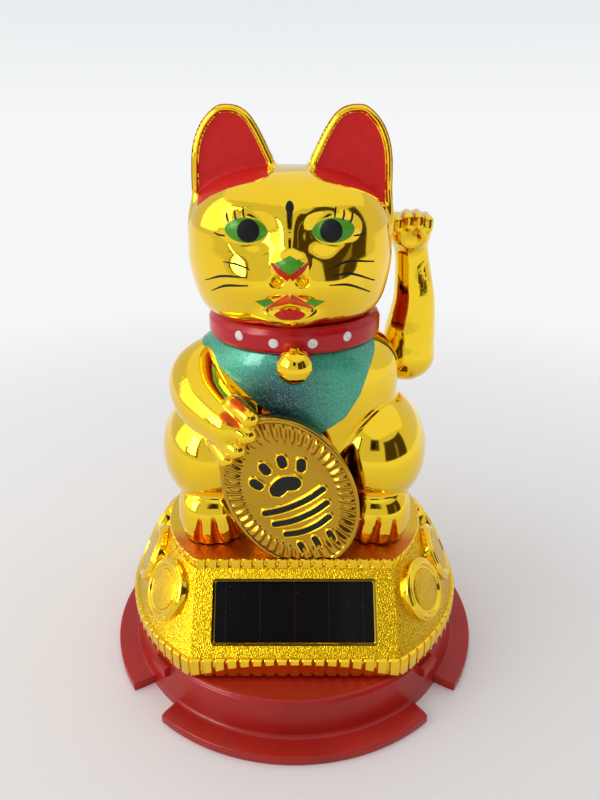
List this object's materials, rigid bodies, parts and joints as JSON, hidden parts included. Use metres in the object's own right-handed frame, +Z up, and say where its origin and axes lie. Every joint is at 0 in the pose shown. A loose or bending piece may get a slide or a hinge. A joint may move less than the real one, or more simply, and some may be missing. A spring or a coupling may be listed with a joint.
{
  "type": "beckoning cat figurine",
  "caption": "Gold seated cat figurine on a round solar base, holding an oval coin, with one raised arm swung by a magnetic pendulum.",
  "frame": {"origin": "centre of the base's flat underside", "axes": "+Z up, -Y is the cat's front, +X is the side of the raised arm"},
  "size_m": [0.084, 0.084, 0.1152],
  "materials": {
    "gold_plating": "vacuum-metallised gold, mirror bright",
    "red_plastic": "moulded, semi-gloss",
    "black_plastic": "moulded",
    "white_plastic": "moulded",
    "screw_steel": "zinc plated",
    "copper_wire": "enamelled winding",
    "board_green": "solder mask",
    "ferrite": "sintered",
    "solar_glass": "dark amorphous cell on glass"
  },
  "bodies": {
    "housing": {"red_base": "red_plastic", "bottom_cover": "red_plastic", "base_screw_1": "screw_steel", "base_screw_2": "screw_steel", "base_screw_3": "screw_steel", "base_screw_4": "screw_steel", "gold_base": "gold_plating", "solar_cell": "solar_glass", "cell_wire_red": "red_plastic", "cell_wire_black": "black_plastic", "circuit_board": "board_green", "board_screw_1": "screw_steel", "board_screw_2": "screw_steel", "chip_blob": "black_plastic", "capacitor": "black_plastic", "coil_bobbin": "white_plastic", "coil_winding": "copper_wire", "swing_frame": "white_plastic", "frame_screw_1": "screw_steel", "frame_screw_2": "screw_steel", "body_front": "gold_plating", "body_back": "gold_plating", "body_screw_1": "screw_steel", "body_screw_2": "screw_steel", "body_screw_3": "screw_steel", "body_screw_4": "screw_steel", "head_front": "gold_plating", "head_back": "gold_plating", "collar": "red_plastic", "bell": "gold_plating", "koban_coin": "gold_plating"},
    "swing": {"pivot_shaft": "screw_steel", "pendulum_lever": "white_plastic", "magnet": "ferrite", "arm_front": "gold_plating", "arm_back": "gold_plating"}
  },
  "joints": [
    {"name": "arm_swing", "type": "hinge", "parent": "housing", "child": "swing", "pos_m": [0, 0.0093, 0.0634], "axis": [1, 0, 0], "range_deg": [-12, 12]}
  ]
}
